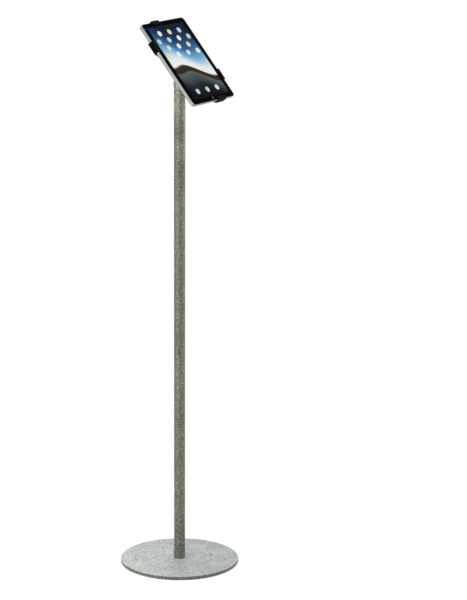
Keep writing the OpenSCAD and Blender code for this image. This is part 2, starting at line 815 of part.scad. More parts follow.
// Puts a shape drawn in the plane, pushed out along z, into the tablet's top, right or bottom edge
module at_top_edge(x) {
    translate([x, tablet_h / 2 - housing_wall, edge_s]) rotate([-90, 0, 0]) children();
}
module at_right_edge(v) {
    translate([tablet_w / 2 - housing_wall, v, edge_s]) rotate([0, 90, 0]) rotate(90) children();
}
module at_bottom_edge(x) {
    translate([x, -tablet_h / 2 + housing_wall, edge_s]) rotate([90, 0, 0]) children();
}

// Cuts the way of one edge button through the wall
module button_way() {
    translate([0, 0, -overcut]) linear_extrude(housing_wall + 2 * overcut)
        pill(edge_button_len + 2 * button_gap, edge_button_w + 2 * button_gap);
}

module edge_button() {
    color(alloy) translate([0, 0, housing_wall - edge_button_depth])
        linear_extrude(edge_button_depth + edge_button_proud) pill(edge_button_len, edge_button_w);
}

// Aluminium tray with an elliptical back edge, a seat for the glass, and openings in its sides
module tablet_housing() {
    color(alloy) in_cradle() difference() {
        hull() {
            for (i = [0 : back_slices - 1]) {
                a = 90 * i / back_slices;
                inset = back_inset * (1 - sin(a));
                translate([0, 0, side_s0 - back_depth * cos(a)]) linear_extrude(slice_t)
                    rounded(tablet_w - 2 * inset, tablet_h - 2 * inset, tablet_r - inset / 2, $fn = hull_fn);
            }
            translate([0, 0, side_s0]) linear_extrude(side_h)
                rounded(tablet_w, tablet_h, tablet_r, $fn = hull_fn);
        }
        translate([0, 0, pocket_s0]) linear_extrude(tablet_t)
            rounded(tablet_w - 2 * housing_wall, tablet_h - 2 * housing_wall, tablet_r - housing_wall);
        translate([0, 0, glass_s0]) linear_extrude(tablet_t)
            rounded(glass_w + 2 * snug, glass_h + 2 * snug, tablet_r - housing_rim + snug);
        at_top_edge(power_x) button_way();
        for (i = [0, 1]) at_right_edge(volume_v - i * volume_pitch) button_way();
        at_top_edge(jack_x) translate([0, 0, -overcut]) cylinder(r = jack_r, h = housing_wall + 2 * overcut);
        at_bottom_edge(0) translate([0, 0, -overcut])
            linear_extrude(housing_wall + 2 * overcut) pill(port_w, port_h);
        for (i = [0 : speaker_holes - 1]) at_bottom_edge(speaker_x + i * speaker_pitch)
            translate([0, 0, -overcut]) cylinder(r = speaker_r, h = housing_wall + 2 * overcut);
    }
}

// Front glass with a round opening for the home button
module tablet_glass() {
    color(black) in_cradle() difference() {
        translate([0, 0, glass_s0]) linear_extrude(glass_t) rounded(glass_w, glass_h, tablet_r - housing_rim);
        translate([0, home_v, glass_s0 - overcut])
            cylinder(d = home_d + 2 * button_gap, h = glass_t + 2 * overcut);
    }
}

// Display panel, bonded to the back of the glass
module tablet_display() {
    color("steelblue") in_cradle() translate([-display_w / 2, -display_h / 2, glass_s0 - display_t])
        cube([display_w, display_h, display_t]);
}

// Two flat packs on the tray's floor
module tablet_battery() {
    color("dimgray") in_cradle() for (side = [-1, 1])
        translate([side * (board_w + battery_w + inner_gap) / 2 - battery_w / 2, -battery_h / 2, pocket_s0])
            cube([battery_w, battery_h, battery_t]);
}

module tablet_board() {
    color("darkgreen") in_cradle() translate([-board_w / 2, -board_h / 2, pocket_s0])
        cube([board_w, board_h, board_t]);
}

// Dished round button in the glass
module home_button() {
    color(black) in_cradle() translate([0, home_v, face_s - home_sink - home_t]) difference() {
        cylinder(d = home_d, h = home_t);
        translate([0, 0, home_t + dish_r - dish_depth]) sphere(r = dish_r);
    }
}

module power_button() { in_cradle() at_top_edge(power_x) edge_button(); }
module volume_up_button() { in_cradle() at_right_edge(volume_v) edge_button(); }
module volume_down_button() { in_cradle() at_right_edge(volume_v - volume_pitch) edge_button(); }

base_plate();
foot_ring();
foot_plug();
base_bolt();
base_washer();
pole();
pole_insert();
collet();
twist_collar();
mast();
mast_guide();
mast_cap();
swivel_screw();
swivel_washers();
swivel_yoke();
tilt_bolt();
friction_washers();
knob_spacer();
tilt_knob();
tilt_knuckle();
hub_washer();
hub_screw();
cradle_shell();
cradle_cover();
cradle_screws();
back_pads();
grip_lock_screw();
width_pinion();
length_pinion();
left_arm();
right_arm();
top_arm();
bottom_arm();
left_claw_pad();
right_claw_pad();
top_claw_pad();
bottom_claw_pad();
tablet_housing();
tablet_glass();
tablet_display();
tablet_battery();
tablet_board();
home_button();
power_button();
volume_up_button();
volume_down_button();
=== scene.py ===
import json
from math import cos, pi, radians, sin

import bmesh
import bpy
import numpy as np
from mathutils import Matrix, Vector


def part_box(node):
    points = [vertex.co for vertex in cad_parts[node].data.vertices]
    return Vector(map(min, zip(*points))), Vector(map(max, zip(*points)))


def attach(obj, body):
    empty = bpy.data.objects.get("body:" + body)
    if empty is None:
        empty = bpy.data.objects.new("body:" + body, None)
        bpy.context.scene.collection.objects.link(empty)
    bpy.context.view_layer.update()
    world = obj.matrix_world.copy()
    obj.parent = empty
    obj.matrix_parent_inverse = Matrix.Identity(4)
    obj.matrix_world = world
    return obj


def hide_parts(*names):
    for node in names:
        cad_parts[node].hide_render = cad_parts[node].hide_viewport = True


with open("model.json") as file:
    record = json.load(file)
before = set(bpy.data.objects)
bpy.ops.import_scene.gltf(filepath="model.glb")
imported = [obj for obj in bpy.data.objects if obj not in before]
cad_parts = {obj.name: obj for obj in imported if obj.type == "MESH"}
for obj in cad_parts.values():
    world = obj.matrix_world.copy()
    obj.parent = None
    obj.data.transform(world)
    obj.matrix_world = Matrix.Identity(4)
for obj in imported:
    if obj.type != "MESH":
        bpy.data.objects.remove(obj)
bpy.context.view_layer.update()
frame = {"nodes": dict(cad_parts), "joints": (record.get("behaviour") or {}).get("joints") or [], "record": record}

# Base plate: a heavy round of steel plate with eased edges. It is sprayed with a silver hammer-finish
# enamel, whose aluminium flake gathers into small swollen cells as it dries.


def linear(code):
    """Linear colour of an sRGB hex code: each channel is c/12.92 when dark, else ((c+0.055)/1.055)^2.4."""
    channels = [int(code[i:i + 2], 16) / 255 for i in (1, 3, 5)]
    return [c / 12.92 if c <= 0.04045 else ((c + 0.055) / 1.055) ** 2.4 for c in channels] + [1.0]


def add(tree, kind, inputs=None, stops=(), **settings):
    """Adds a shader node with its options and its ramp's stops. An input takes a value, a socket, or a node,
    which stands for its first output."""
    node = tree.nodes.new("ShaderNode" + kind)
    for name, value in settings.items():
        setattr(node, name, value)
    for i, (place, code) in enumerate(stops):
        element = node.color_ramp.elements[i] if i < 2 else node.color_ramp.elements.new(place)
        element.position, element.color = place, linear(code)
    for name, value in (inputs or {}).items():
        if isinstance(value, bpy.types.Node):
            value = value.outputs[0]
        if isinstance(value, bpy.types.NodeSocket):
            tree.links.new(value, node.inputs[name])
        else:
            node.inputs[name].default_value = value
    return node


def blank(name):
    """A new material with an empty node tree, and that tree."""
    made = bpy.data.materials.new(name)
    made.use_nodes = True
    made.node_tree.nodes.clear()
    return made, made.node_tree


def dress(material, slot, *names):
    """Puts a finish on CAD nodes; the record's slot that it belongs to is not used."""
    for name in names:
        node = frame["nodes"][name]
        node.data.materials.clear()
        node.data.materials.append(material)


HAMMER_CELL = 0.0034   # metres across one cell of the enamel
CELL_RELIEF = 0.0006   # metres that a whole step of height stands for, of which a cell uses about half
FLAKE = 0.0008         # metres across a clump of flake, drawn a few times as coarse as it is
FLAKE_SHARE = 0.4      # share of the tone that the flake has, beside the cells
FLAKE_PATCH = 0.0045   # metres across a patch where the flake has gathered
PATCH_SHARE = 0.42
SPRAY_DRIFT = 0.06     # metres over which the coat gets lighter or darker
DRIFT_SHARE = 0.15
RIM_PAINTED_SHADE = 0.11        # painted shade: how much darker the plate's rim is made, as a step of tone
RIM_DEPTH = 0.0012     # metres below the plate's top where the rim has its full tone
PLATE_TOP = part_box("base_plate")[1].z


def hammer_enamel(name, metal, tones, low, low_step, high, high_step):
    """Hammer-finish enamel: bright swollen cells with darker sunken seams, patchy where metal flake has
    gathered. The tone steps up or down between two heights: painted shade on the plate's rim and
    painted light at the pole's top end."""
    made, tree = blank(name)
    place = add(tree, "TexCoord").outputs["Object"]
    cells = add(tree, "TexVoronoi", {"Vector": place, "Scale": 1 / HAMMER_CELL})
    cell = add(tree, "MapRange", {
        "Value": cells, "From Min": 0.1, "From Max": 0.8, "To Min": 0.75, "To Max": 0.2})
    flake = add(tree, "TexNoise", {"Vector": place, "Scale": 1 / FLAKE, "Detail": 2.0})
    patch = add(tree, "TexNoise", {"Vector": place, "Scale": 1 / FLAKE_PATCH, "Detail": 2.0})
    drift = add(tree, "TexNoise", {"Vector": place, "Scale": 1 / SPRAY_DRIFT})
    tone = add(tree, "Mix", {0: FLAKE_SHARE, 2: cell, 3: flake.outputs["Fac"]})
    tone = add(tree, "Mix", {0: PATCH_SHARE, 2: tone, 3: patch.outputs["Fac"]})
    tone = add(tree, "Mix", {0: DRIFT_SHARE, 2: tone, 3: drift.outputs["Fac"]})
    height = add(tree, "SeparateXYZ", {"Vector": place}).outputs["Z"]
    # The step between two heights paints light and shade into the tone.
    step = add(tree, "MapRange", {
        "Value": height, "From Min": low, "From Max": high, "To Min": low_step, "To Max": high_step},
        interpolation_type="SMOOTHSTEP")
    tone = add(tree, "Math", {0: tone, 1: step}, operation="ADD")
    colour = add(tree, "ValToRGB", {"Fac": tone}, tones)
    gloss = add(tree, "MapRange", {
        "Value": tone, "From Min": 0.3, "From Max": 0.7, "To Min": 0.58, "To Max": 0.44})
    relief = add(tree, "Bump", {"Height": cell, "Strength": 0.6, "Distance": CELL_RELIEF})
    shader = add(tree, "BsdfPrincipled", {
        "Base Color": colour, "Metallic": metal, "Roughness": gloss, "Normal": relief})
    add(tree, "OutputMaterial", {"Surface": shader})
    return made


# Below its top, the plate's rim and underside are made darker in tone: painted shade.
plate_enamel = hammer_enamel(
    "plate_hammer_enamel", metal=0.12,
    tones=[(0.34, "#7F8177"), (0.45, "#A6ABA9"), (0.54, "#BFC5C6"), (0.645, "#E6EAEB")],
    low=PLATE_TOP - RIM_DEPTH, low_step=-RIM_PAINTED_SHADE, high=PLATE_TOP, high_step=0.0)
dress(plate_enamel, "hammered_silver", "base_plate")

# Foot ring: a flat ring of black rubber bonded under the plate's rim, so that the stand grips the floor.
# The claws' pads and the cradle's back pads are cut from the same moulded sheet.
RUBBER_GRAIN = 0.0008   # metres across the grain that the mould leaves


def moulded_rubber():
    """Black moulded rubber: matt and a little dusty, with a fine grain."""
    made, tree = blank("moulded_rubber")
    place = add(tree, "TexCoord").outputs["Object"]
    grain = add(tree, "TexNoise", {"Vector": place, "Scale": 1 / RUBBER_GRAIN, "Detail": 3.0})
    colour = add(tree, "ValToRGB", {"Fac": grain}, [(0.3, "#171718"), (0.7, "#232324")])
    relief = add(tree, "Bump", {"Height": grain.outputs["Fac"], "Strength": 0.25, "Distance": 0.0001})
    gloss = add(tree, "MapRange", {"Value": grain, "To Min": 0.78, "To Max": 0.92})
    shader = add(tree, "BsdfPrincipled", {
        "Base Color": colour, "Roughness": gloss, "IOR": 1.52, "Normal": relief})
    add(tree, "OutputMaterial", {"Surface": shader})
    return made


dress(moulded_rubber(), "rubber", "foot_ring", "back_pads",
      "left_claw_pad", "right_claw_pad", "top_claw_pad", "bottom_claw_pad")

# Pole: a straight steel tube with square ends, sprayed with the same enamel as the plate. It stands directly
# on the plate, over a plug that the bolt from below draws down.
TOP_PAINTED_LIGHT = 0.08        # painted light: how much lighter the pole's top end is made, as a step of tone
END_START = 0.11       # metres below the pole's top where that begins
END_FULL = 0.03        # metres below the pole's top where it is complete
# The pole's top end is made lighter in tone: painted light.
POLE_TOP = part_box("pole")[1].z
# The tube's tones are darker and more olive than the plate's, for the same enamel: beside its larger metal share,
# this is painted shade and a painted tint of light on the upright tube.
tube_enamel = hammer_enamel(
    "tube_hammer_enamel", metal=0.7,
    tones=[(0.3, "#3C3C35"), (0.44, "#6E6E63"), (0.55, "#8B8B7D"), (0.68, "#C8C7BC")],
    low=POLE_TOP - END_START, low_step=0.0, high=POLE_TOP - END_FULL, high_step=TOP_PAINTED_LIGHT)
dress(tube_enamel, "hammered_silver", "pole")

# Twist collar: a cast ring in the same enamel that is turned by hand to pinch the collet on the mast.
# Shallow flutes round its skirt give the fingers a hold.
FLUTES = 30
FLUTE_STEPS = 12         # points round the ring for each flute
FLUTE_DEPTH = 0.00035
FLUTE_FADE = 0.0022      # metres over which a flute fades in
FLUTE_PLAIN = 0.4        # share of that length that is left plain first, at the skirt's two ends
SKIRT_STEPS = 28         # points up the skirt
COLLAR_WALL = 0.0012
COLLAR_ROOF = 0.003
COLLAR_BEVEL = 0.001
COLLAR_BORE = 0.01152    # radius that clears the mast
SAME_POINT = 1e-7        # metres within which two points of a surface are one
BODY = {node: body for body, nodes in frame["record"]["behaviour"]["bodies"].items() for node in nodes}


def grid_mesh(name, points, closed_rows, closed_columns):
    """Mesh of a grid of points (row, column, xyz): quads between neighbours, a closed direction joined to its
    own start. Doubled points are merged, so that poles close, and the faces are turned outwards."""
    rows, columns = points.shape[:2]
    index = np.arange(rows * columns).reshape(rows, columns)
    index = np.concatenate([index, index[:1]], 0) if closed_rows else index
    index = np.concatenate([index, index[:, :1]], 1) if closed_columns else index
    quads = np.stack([index[:-1, :-1], index[1:, :-1], index[1:, 1:], index[:-1, 1:]], -1).reshape(-1, 4)
    mesh = bpy.data.meshes.new(name)
    mesh.from_pydata(points.reshape(-1, 3), [], quads)
    shape = bmesh.new()
    shape.from_mesh(mesh)
    bmesh.ops.remove_doubles(shape, verts=shape.verts, dist=SAME_POINT)
    bmesh.ops.recalc_face_normals(shape, faces=shape.faces)
    shape.to_mesh(mesh)
    shape.free()
    return mesh


def stand_in(name, mesh, material, node, sharp=40.0):
    """Shows a mesh in place of a CAD node, on that node's body, smooth but for edges sharper than an angle in
    degrees."""
    mesh.materials.append(material)
    mesh.shade_smooth()
    mesh.set_sharp_from_angle(angle=radians(sharp))
    piece = bpy.data.objects.new(name, mesh)
    bpy.context.scene.collection.objects.link(piece)
    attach(piece, BODY[node])
    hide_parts(node)
    return piece


def fluted_collar():
    """A closed section turned round the pole's axis. Its skirt's radius is cut back by the square of a raised
    cosine of the angle, once for each flute, which fades in over a short length at the skirt's two ends."""
    low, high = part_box("twist_collar")
    radius = (high.x - low.x) / 2
    inner = radius - COLLAR_WALL
    skirt = np.linspace(low.z, high.z - COLLAR_BEVEL, SKIRT_STEPS)
    section = np.concatenate([
        np.stack([np.full(SKIRT_STEPS, radius), skirt], -1),
        [[radius - COLLAR_BEVEL, high.z], [COLLAR_BORE, high.z], [COLLAR_BORE, high.z - COLLAR_ROOF],
         [inner, high.z - COLLAR_ROOF], [inner, low.z]]])
    turn = np.linspace(0, 2 * pi, FLUTES * FLUTE_STEPS, endpoint=False)[:, None]
    ends = np.minimum(section[:, 1] - low.z, high.z - COLLAR_BEVEL - section[:, 1])
    fade = np.clip(ends / FLUTE_FADE - FLUTE_PLAIN, 0, 1) * (section[:, 0] == radius)
    cut = FLUTE_DEPTH * fade * (0.5 + 0.5 * np.cos(FLUTES * turn)) ** 2
    r = section[:, 0] - cut
    points = np.stack([r * np.cos(turn), r * np.sin(turn), np.broadcast_to(section[:, 1], r.shape)], -1)
    return grid_mesh("fluted_collar", points, True, True)


# The collar takes the tube's enamel, with the painted shade of its tones and the painted light of the pole's top
# end.
stand_in("fluted_collar", fluted_collar(), tube_enamel, "twist_collar")

# Steel hardware: the plug, bolt and washer in the foot, the insert in the pole's top, the mast's cap, and the
# screws and washers of the head. All are turned or headed steel with a bright zinc plate.
ZINC_CLOUD = 0.006       # metres across a cloud in the passivation
TURNING_MARK = 0.0007    # metres across a mark of the lathe


def zinc_plate():
    """Bright zinc on steel: a bluish metal with faint cloudy passivation and turning marks."""
    made, tree = blank("bright_zinc_plate")
    place = add(tree, "TexCoord").outputs["Object"]
    clouds = add(tree, "TexNoise", {"Vector": place, "Scale": 1 / ZINC_CLOUD, "Detail": 3.0})
    colour = add(tree, "ValToRGB", {"Fac": clouds}, [
        (0.3, "#9AA0A5"), (0.55, "#B0B3B4"), (0.75, "#BAB7AC")])
    marks = add(tree, "TexNoise", {"Vector": place, "Scale": 1 / TURNING_MARK, "Detail": 2.0})
    gloss = add(tree, "MapRange", {"Value": marks, "To Min": 0.24, "To Max": 0.42})
    relief = add(tree, "Bump", {"Height": marks.outputs["Fac"], "Strength": 0.12, "Distance": 0.00005})
    shader = add(tree, "BsdfPrincipled", {
        "Base Color": colour, "Metallic": 1.0, "Roughness": gloss, "Normal": relief})
    add(tree, "OutputMaterial", {"Surface": shader})
    return made


zinc = zinc_plate()
dress(zinc, "zinc_hardware", "foot_plug", "base_bolt", "base_washer", "pole_insert", "mast_cap",
      "swivel_screw", "tilt_bolt", "knob_spacer", "hub_washer", "hub_screw", "grip_lock_screw")

# Collet, guide cup, washers and pinions: natural acetal, moulded white. It is slippery, so the pieces that
# slide or turn on one another are made of it.
ACETAL_FLOW = 0.004      # metres across a flow mark


def natural_acetal():
    """Natural acetal: waxy white, with a soft gloss and light that sinks in a little."""
    made, tree = blank("natural_acetal")
    place = add(tree, "TexCoord").outputs["Object"]
    flow = add(tree, "TexNoise", {"Vector": place, "Scale": 1 / ACETAL_FLOW, "Detail": 2.0})
    colour = add(tree, "ValToRGB", {"Fac": flow}, [(0.3, "#D2D1C7"), (0.7, "#E2E1DA")])
    gloss = add(tree, "MapRange", {"Value": flow, "To Min": 0.32, "To Max": 0.42})
    relief = add(tree, "Bump", {"Height": flow.outputs["Fac"], "Strength": 0.15, "Distance": 0.0002})
    shader = add(tree, "BsdfPrincipled", {
        "Base Color": colour, "Roughness": gloss, "IOR": 1.48, "Normal": relief,
        "Subsurface Weight": 0.15, "Subsurface Radius": (0.002, 0.002, 0.0018), "Subsurface Scale": 1.0})
    add(tree, "OutputMaterial", {"Surface": shader})
    return made


dress(natural_acetal(), "acetal", "collet", "mast_guide", "swivel_washers", "friction_washers",
      "width_pinion", "length_pinion")

# Mast: a drawn aluminium tube, satin anodised. It slides in the pole, and the collet grips it at any height.
# Its cap is pressed in and threaded for the screw that the head swivels on.
DRAW_MARK = 0.0006       # metres across a draw mark
DRAW_STRETCH = 100       # how many times as long it is


def satin_anodised_tube():
    """Satin anodised tube: pale metal with fine draw marks along its length."""
    made, tree = blank("satin_anodised_tube")
    place = add(tree, "TexCoord").outputs["Object"]
    drawn = add(tree, "Mapping", {"Vector": place, "Scale": (1.0, 1.0, 1 / DRAW_STRETCH)})
    marks = add(tree, "TexNoise", {"Vector": drawn, "Scale": 1 / DRAW_MARK, "Detail": 3.0})
    colour = add(tree, "ValToRGB", {"Fac": marks}, [(0.3, "#A3A6A9"), (0.7, "#BCBEC0")])
    gloss = add(tree, "MapRange", {"Value": marks, "To Min": 0.28, "To Max": 0.42})
    relief = add(tree, "Bump", {"Height": marks.outputs["Fac"], "Strength": 0.12, "Distance": 0.00005})
    shader = add(tree, "BsdfPrincipled", {
        "Base Color": colour, "Metallic": 1.0, "Roughness": gloss, "Normal": relief})
    add(tree, "OutputMaterial", {"Surface": shader})
    return made


dress(satin_anodised_tube(), "satin_tube", "mast")

# Yoke and knuckle: zinc castings, tumbled so that their edges are soft, and powder coated black. The yoke
# swivels on the mast, and the knuckle between its ears tilts and carries the cradle.
POWDER_PEEL = 0.0014     # metres across the orange peel
CAST_EDGE = 0.0006       # metres of rounding that tumbling leaves
CAD_SEAM = 2e-6          # metres within which corners of the CAD's faces meet
FLAT = radians(0.5)      # faces that turn less than this are one flat
CORNER = radians(35)     # edges that turn more than this are rounded
EASED_STEPS = 2          # faces across a rounded edge


def eased(material, slot, width, *names):
    """Shows a copy of each CAD node with its corners merged, its flat faces whole and its edges rounded by a
    bevel. No edge is left sharp."""
    for name in names:
        shape = bmesh.new()
        shape.from_mesh(frame["nodes"][name].data)
        bmesh.ops.remove_doubles(shape, verts=shape.verts, dist=CAD_SEAM)
        bmesh.ops.dissolve_limit(shape, angle_limit=FLAT, verts=shape.verts, edges=shape.edges)
        mesh = bpy.data.meshes.new("eased_" + name)
        shape.to_mesh(mesh)
        shape.free()
        if "custom_normal" in mesh.attributes:
            mesh.attributes.remove(mesh.attributes["custom_normal"])
        piece = stand_in("eased_" + name, mesh, material, name, sharp=180.0)
        bevel = piece.modifiers.new("edge", "BEVEL")
        bevel.width, bevel.segments = width, EASED_STEPS
        bevel.limit_method, bevel.angle_limit = "ANGLE", CORNER
        weight = piece.modifiers.new("shading", "WEIGHTED_NORMAL")
        weight.keep_sharp = True


def black_powder_coat():
    """Black powder coat on a casting: an even orange peel and a low gloss."""
    made, tree = blank("black_powder_coat")
    place = add(tree, "TexCoord").outputs["Object"]
    peel = add(tree, "TexNoise", {"Vector": place, "Scale": 1 / POWDER_PEEL, "Detail": 2.0})
    colour = add(tree, "ValToRGB", {"Fac": peel}, [(0.3, "#161718"), (0.7, "#1F2021")])
    gloss = add(tree, "MapRange", {"Value": peel, "To Min": 0.38, "To Max": 0.5})
    relief = add(tree, "Bump", {"Height": peel.outputs["Fac"], "Strength": 0.3, "Distance": 0.00015})
    shader = add(tree, "BsdfPrincipled", {
        "Base Color": colour, "Roughness": gloss, "IOR": 1.5, "Specular IOR Level": 0.35, "Normal": relief})
    add(tree, "OutputMaterial", {"Surface": shader})
    return made


eased(black_powder_coat(), "black_casting", CAST_EDGE, "swivel_yoke", "tilt_knuckle")

# Cradle, arms and knob: black ABS, injection moulded in tools with a spark-eroded grain. The shell and cover
# hold the pinions and racks, and each arm ends in a claw whose lip hooks over the tablet's edge.
SPARK_GRAIN = 0.0009     # metres across the grain, drawn about twice as coarse as it is
MOULD_EDGE = 0.0004      # metres of rounding in the tool


def moulded_abs():
    """Black moulded ABS: a fine even grain that breaks the gloss."""
    made, tree = blank("moulded_black_abs")
    place = add(tree, "TexCoord").outputs["Object"]
    grain = add(tree, "TexNoise", {
        "Vector": place, "Scale": 1 / SPARK_GRAIN, "Detail": 4.0, "Roughness": 0.65})
    colour = add(tree, "ValToRGB", {"Fac": grain}, [(0.3, "#060607"), (0.7, "#0B0B0C")])
    gloss = add(tree, "MapRange", {"Value": grain, "To Min": 0.42, "To Max": 0.58})
    relief = add(tree, "Bump", {"Height": grain.outputs["Fac"], "Strength": 0.2, "Distance": 0.0001})
    shader = add(tree, "BsdfPrincipled", {
        "Base Color": colour, "Roughness": gloss, "IOR": 1.5, "Specular IOR Level": 0.03, "Normal": relief})
    add(tree, "OutputMaterial", {"Surface": shader})
    return made


eased(moulded_abs(), "black_plastic", MOULD_EDGE, "cradle_shell", "cradle_cover", "tilt_knob",
      "left_arm", "right_arm", "top_arm", "bottom_arm")

# Cover screws: four zinc-plated pan-head screws with cross recesses, driven from behind through the shell
# into the cover's posts.
SCREW_HEAD_R = 0.0029
SCREW_HEAD_H = 0.0017
SCREW_SHANK_R = 0.0015
SCREW_SIDES = 96         # points round a screw
CROWN_POWER = 4          # how squarely the crown falls off
CROWN_INNER = np.linspace(0, 0.66, 25)                 # shares of the head's radius, over the cross
CROWN_OUTER = np.sin(np.linspace(0.24, 0.5, 9) * pi)   # and closer together towards the rim
CROSS_REACH = 0.0017     # metres from the middle to a bar's end
CROSS_HALF = 0.00042     # half of a bar's width
CROSS_DEPTH = 0.0012
CROSS_RISE = 0.5         # share of its depth that a bar loses at its end
CROSS_SOFT = 0.00012     # metres over which a bar's wall slopes
face_normal = Vector(next(j["axis"] for j in frame["joints"] if j["name"] == "cradle_turn"))
across = Vector((1, 0, 0))
cradle_axes = np.array([across, face_normal.cross(across), face_normal])


def reach(name):
    """Lowest and highest place of a node along the cradle's own axes: across, up the tablet, out of its
    face."""
    corners = frame["nodes"][name].data.vertices
    places = np.empty(len(corners) * 3)
    corners.foreach_get("co", places)
    along = places.reshape(-1, 3) @ cradle_axes.T
    return along.min(0), along.max(0)


def cross_head_screws():
    """Four like solids of revolution. The crown's height falls off as a fourth root towards its rim, and a
    cross of two soft-edged bars is sunk into it, shallower towards the bars' ends."""
    low, high = reach("cradle_screws")
    crown = np.concatenate([CROWN_INNER, CROWN_OUTER])
    turn = np.linspace(0, 2 * pi, SCREW_SIDES, endpoint=False)[:, None]
    r = np.concatenate([crown * SCREW_HEAD_R, [SCREW_SHANK_R, SCREW_SHANK_R, 0]]) + 0 * turn
    depth = low[2] + SCREW_HEAD_H * (1 - (1 - np.minimum(crown, 1) ** CROWN_POWER) ** (1 / CROWN_POWER))
    depth = np.concatenate([depth, [low[2] + SCREW_HEAD_H, high[2], high[2]]]) + 0 * turn
    x, y = r * np.cos(turn), r * np.sin(turn)
    bar = [np.clip((CROSS_HALF - abs(b)) / CROSS_SOFT + 0.5, 0, 1)
           * np.clip((CROSS_REACH - abs(a)) / CROSS_SOFT + 0.5, 0, 1) for a, b in ((x, y), (y, x))]
    sunk = CROSS_DEPTH * np.maximum(*bar) * (1 - CROSS_RISE * r / CROSS_REACH)
    depth = depth + np.where(np.arange(r.shape[1]) < len(crown), sunk, 0)
    local = np.stack([x, y, depth], -1)
    low, high = low + SCREW_HEAD_R, high - SCREW_HEAD_R
    middles = [(x, y, 0) for x in (low[0], high[0]) for y in (low[1], high[1])]
    meshes = [grid_mesh("cross_head_screw", (local + place) @ cradle_axes, True, False) for place in middles]
    joined = bmesh.new()
    for mesh in meshes:
        joined.from_mesh(mesh)
        bpy.data.meshes.remove(mesh)
    whole = bpy.data.meshes.new("cross_head_screws")
    joined.to_mesh(whole)
    joined.free()
    return whole


stand_in("cross_head_screws", cross_head_screws(), zinc, "cradle_screws")

# Tablet housing and edge buttons: one tray milled from aluminium with an elliptical back edge, bead blasted
# and clear anodised. The glass sits in its rim.
BEAD = 0.0005            # metres across a bead's mark, drawn several times as coarse as it is
MILLED_EDGE = 0.00022    # metres of rounding that blasting leaves


def blasted_aluminium():
    """Bead-blasted anodised aluminium: a soft even sheen with a very fine grain."""
    made, tree = blank("blasted_aluminium")
    place = add(tree, "TexCoord").outputs["Object"]
    grain = add(tree, "TexNoise", {"Vector": place, "Scale": 1 / BEAD, "Detail": 2.0})
    colour = add(tree, "ValToRGB", {"Fac": grain}, [(0.3, "#909192"), (0.7, "#9D9E9F")])
    gloss = add(tree, "MapRange", {"Value": grain, "To Min": 0.41, "To Max": 0.45})
    relief = add(tree, "Bump", {"Height": grain.outputs["Fac"], "Strength": 0.08, "Distance": 0.00004})
    shader = add(tree, "BsdfPrincipled", {
        "Base Color": colour, "Metallic": 1.0, "Roughness": gloss, "Normal": relief})
    add(tree, "OutputMaterial", {"Surface": shader})
    return made


eased(blasted_aluminium(), "tablet_alloy", MILLED_EDGE, "tablet_housing", "power_button", "volume_up_button",
      "volume_down_button")

# Front glass and display: one laminate, printed black round the edge, with a small sensor under the print.
# The lit picture is a plain pattern of slanting waves with a staggered set of round tiles.
# Sizes on its face, from PRINT_OVERLAP to TILES_HALF, are in millimetres.
PRINT_OVERLAP = 4.0      # how much of the panel's long sides the print covers
SENSOR = (-88.4, 107.5)  # its place from the middle of the face
SENSOR_R = 2.3
WAVE_SLANT = 0.28        # rise of the waves for each millimetre across
WAVE_ACROSS = 0.05       # radians of the swell for each millimetre across
WAVE_UP = 0.03           # and for each millimetre up
WAVE_SWELL = 9.0
TILE_PITCH = 31.0
TILE_TURN = radians(45)  # how far the rows of tiles are turned
TILE_R = 7.6
TILE_ROWS = ((16.0, 96.0), (-100.0, -82.0))   # tiles show whose middles lie in these heights
TILES_HALF = 72.0        # and no further out than this
SMUDGE = 0.018           # metres across a finger's smudge
GLASS_EDGE = 0.0003      # metres of rounding that polishing leaves
MILLIMETRE = 0.001
glass_low, glass_high = reach("tablet_glass")
display_low, display_high = reach("tablet_display")
glass_middle = (glass_low + glass_high) / 2 @ cradle_axes
display_half = (display_high - display_low) / 2 / MILLIMETRE


